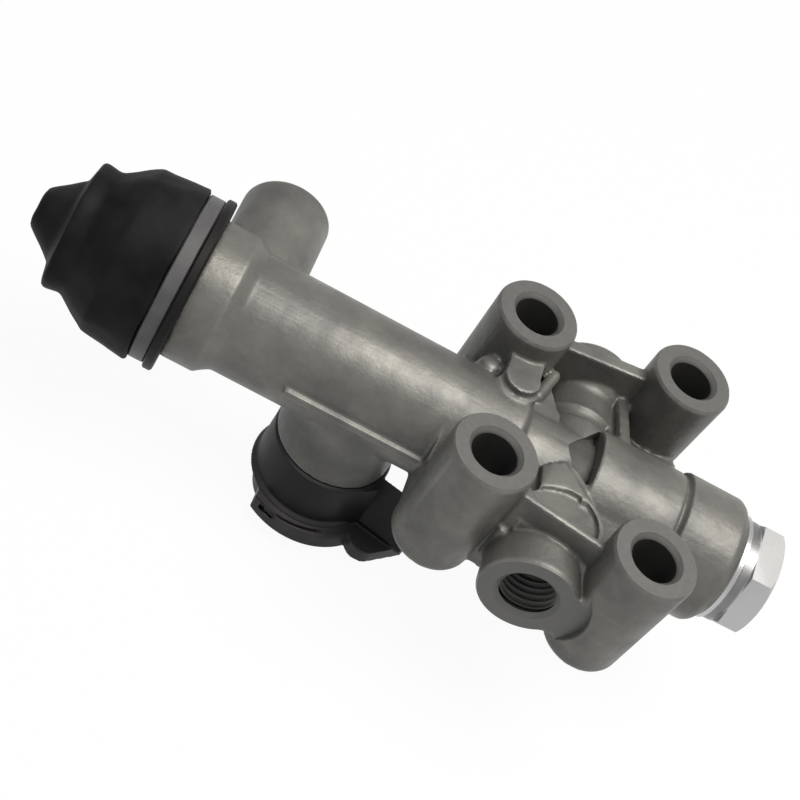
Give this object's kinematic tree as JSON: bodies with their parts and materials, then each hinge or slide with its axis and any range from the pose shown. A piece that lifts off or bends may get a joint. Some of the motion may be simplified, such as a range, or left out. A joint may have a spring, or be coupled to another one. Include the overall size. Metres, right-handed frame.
{
  "type": "leveling valve",
  "caption": "Plunger-operated air valve with a long die-cast housing, bolt bosses, opposed tapped ports, a rubber boot over the plunger, a hex plug and a vent cap below.",
  "frame": {"origin": "on the plunger axis, at the centre of the left pair of bolt holes", "axes": "+X along the plunger axis towards the hex plug, +Y towards the supply port, +Z along the bolt holes towards the machined boss faces"},
  "size_m": [0.153, 0.0636, 0.0559],
  "materials": {
    "cast_body": "fine shot-blasted die casting, pale grey with a satin sheen",
    "boot_rubber": "matt moulded black rubber with a fine grain",
    "clamp_band": "mid grey band, satin",
    "seat_ring": "black moulded ring, satin",
    "rod_steel": "ground and hardened rod",
    "tip_steel": "turned pressure pad",
    "bronze": "sintered bronze",
    "ring_steel": "phosphated spring steel",
    "seal_rubber": "smooth black nitrile",
    "sleeve_brass": "turned brass",
    "spool_alloy": "hard anodised spool",
    "spring_steel": "drawn spring wire",
    "zinc_steel": "bright zinc plate with turning marks",
    "poppet_plastic": "moulded valve disc",
    "screen_steel": "perforated stainless disc",
    "cap_plastic": "black moulded vent cap, satin",
    "seat_plastic": "natural grey moulding",
    "foam": "open-cell silencer foam"
  },
  "bodies": {
    "housing": {"valve_body": "cast_body", "rubber_boot": "boot_rubber", "boot_clamp_ring": "clamp_band", "boot_seat_ring": "seat_ring", "guide_bush": "bronze", "guide_circlip": "ring_steel", "rod_wiper": "seal_rubber", "rod_seal": "seal_rubber", "valve_sleeve": "sleeve_brass", "sleeve_seals": "seal_rubber", "return_spring": "spring_steel", "hex_plug": "zinc_steel", "plug_washer": "zinc_steel", "plug_seal": "seal_rubber", "check_seat": "sleeve_brass", "check_spring": "spring_steel", "check_retainer": "sleeve_brass", "port_screens": "screen_steel", "vent_cap": "cap_plastic", "vent_clip": "ring_steel", "vent_seat": "seat_plastic", "vent_foam": "foam"},
    "plunger": {"plunger": "rod_steel", "plunger_tip": "tip_steel"},
    "spool": {"spool": "spool_alloy", "spool_seal": "seal_rubber", "spring_cup": "rod_steel"},
    "check_poppet": {"check_poppet": "poppet_plastic"},
    "vent_flap": {"vent_flap": "seal_rubber"}
  },
  "joints": [
    {"name": "plunger_slide", "type": "slide", "parent": "housing", "child": "plunger", "axis": [1, 0, 0], "range_m": [0, 0.008], "stiffness_N_per_m": 1500, "springref_m": -0.01, "deforming": ["rubber_boot", "return_spring"]},
    {"name": "spool_slide", "type": "slide", "parent": "housing", "child": "spool", "axis": [1, 0, 0], "range_m": [0, 0.008]},
    {"name": "check_slide", "type": "slide", "parent": "housing", "child": "check_poppet", "axis": [0, -1, 0], "range_m": [0, 0.0012], "stiffness_N_per_m": 20, "springref_m": -0.002, "deforming": ["check_spring"]},
    {"name": "vent_flap_lift", "type": "slide", "parent": "housing", "child": "vent_flap", "axis": [0, 0, -1], "range_m": [0, 0.001], "stiffness_N_per_m": 5, "springref_m": -0.001}
  ],
  "couplings": [
    {"joint": "spool_slide", "follows": "plunger_slide", "ratio": 1}
  ]
}
